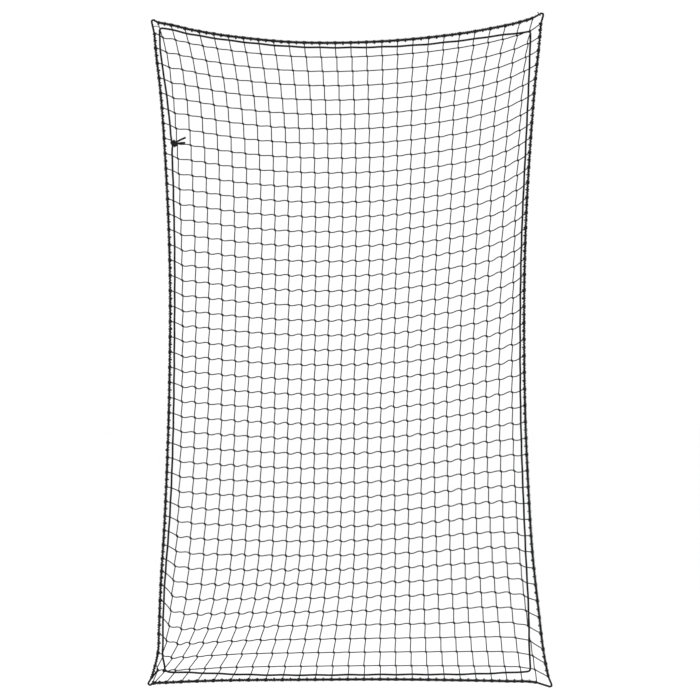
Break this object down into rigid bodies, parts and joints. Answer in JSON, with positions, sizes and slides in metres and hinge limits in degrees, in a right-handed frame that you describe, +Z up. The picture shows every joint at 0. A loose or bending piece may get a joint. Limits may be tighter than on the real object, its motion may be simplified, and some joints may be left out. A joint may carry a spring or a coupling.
{
  "type": "sports net",
  "caption": "Rectangular knotted square-mesh ball net with a lashed border rope, a tied inner cord and four bare rope eyes at its corners.",
  "frame": {"origin": "centre of the net's bounding box, in the plane of the netting", "axes": "+Z up towards the top rope, +X to the right as seen from the front, -Y the front face"},
  "size_m": [1.22, 0.021, 2.03],
  "materials": {
    "netting_twine": "black tarred-look twisted synthetic twine, fine fibre fuzz, satin",
    "lashing_twine": "black hard-laid twine wound round the border rope, satin",
    "border_rope": "black three-strand synthetic rope, satin with a slight fibre sheen",
    "inner_cord": "smooth black braided cord, low sheen"
  },
  "bodies": {
    "top_band": {"vertical_twines_1": "netting_twine", "level_twines_1": "netting_twine", "mesh_knots_1": "netting_twine", "left_border_rope_1": "border_rope", "left_lashing_1": "lashing_twine", "left_inner_cord_1": "inner_cord", "right_border_rope_1": "border_rope", "right_lashing_1": "lashing_twine", "right_inner_cord_1": "inner_cord", "top_border_rope": "border_rope", "top_lashing": "lashing_twine", "top_inner_cord": "inner_cord", "top_left_eye": "border_rope", "top_right_eye": "border_rope", "inner_cord_knot": "inner_cord", "upper_cord_tail": "inner_cord", "lower_cord_tail": "inner_cord"},
    "upper_band": {"vertical_twines_2": "netting_twine", "level_twines_2": "netting_twine", "mesh_knots_2": "netting_twine", "left_border_rope_2": "border_rope", "left_lashing_2": "lashing_twine", "left_inner_cord_2": "inner_cord", "right_border_rope_2": "border_rope", "right_lashing_2": "lashing_twine", "right_inner_cord_2": "inner_cord"},
    "lower_band": {"vertical_twines_3": "netting_twine", "level_twines_3": "netting_twine", "mesh_knots_3": "netting_twine", "left_border_rope_3": "border_rope", "left_lashing_3": "lashing_twine", "left_inner_cord_3": "inner_cord", "right_border_rope_3": "border_rope", "right_lashing_3": "lashing_twine", "right_inner_cord_3": "inner_cord"},
    "bottom_band": {"vertical_twines_4": "netting_twine", "level_twines_4": "netting_twine", "mesh_knots_4": "netting_twine", "left_border_rope_4": "border_rope", "left_lashing_4": "lashing_twine", "left_inner_cord_4": "inner_cord", "right_border_rope_4": "border_rope", "right_lashing_4": "lashing_twine", "right_inner_cord_4": "inner_cord", "bottom_border_rope": "border_rope", "bottom_lashing": "lashing_twine", "bottom_inner_cord": "inner_cord", "bottom_left_eye": "border_rope", "bottom_right_eye": "border_rope"}
  },
  "joints": [
    {"name": "upper_fold", "type": "hinge", "parent": "top_band", "child": "upper_band", "pos_m": [0, 0, 0.45], "axis": [1, 0, 0], "range_deg": [-80, 80]},
    {"name": "middle_fold", "type": "hinge", "parent": "upper_band", "child": "lower_band", "pos_m": [0, 0, -0.04], "axis": [1, 0, 0], "range_deg": [-80, 80]},
    {"name": "lower_fold", "type": "hinge", "parent": "lower_band", "child": "bottom_band", "pos_m": [0, 0, -0.528], "axis": [1, 0, 0], "range_deg": [-80, 80]}
  ]
}
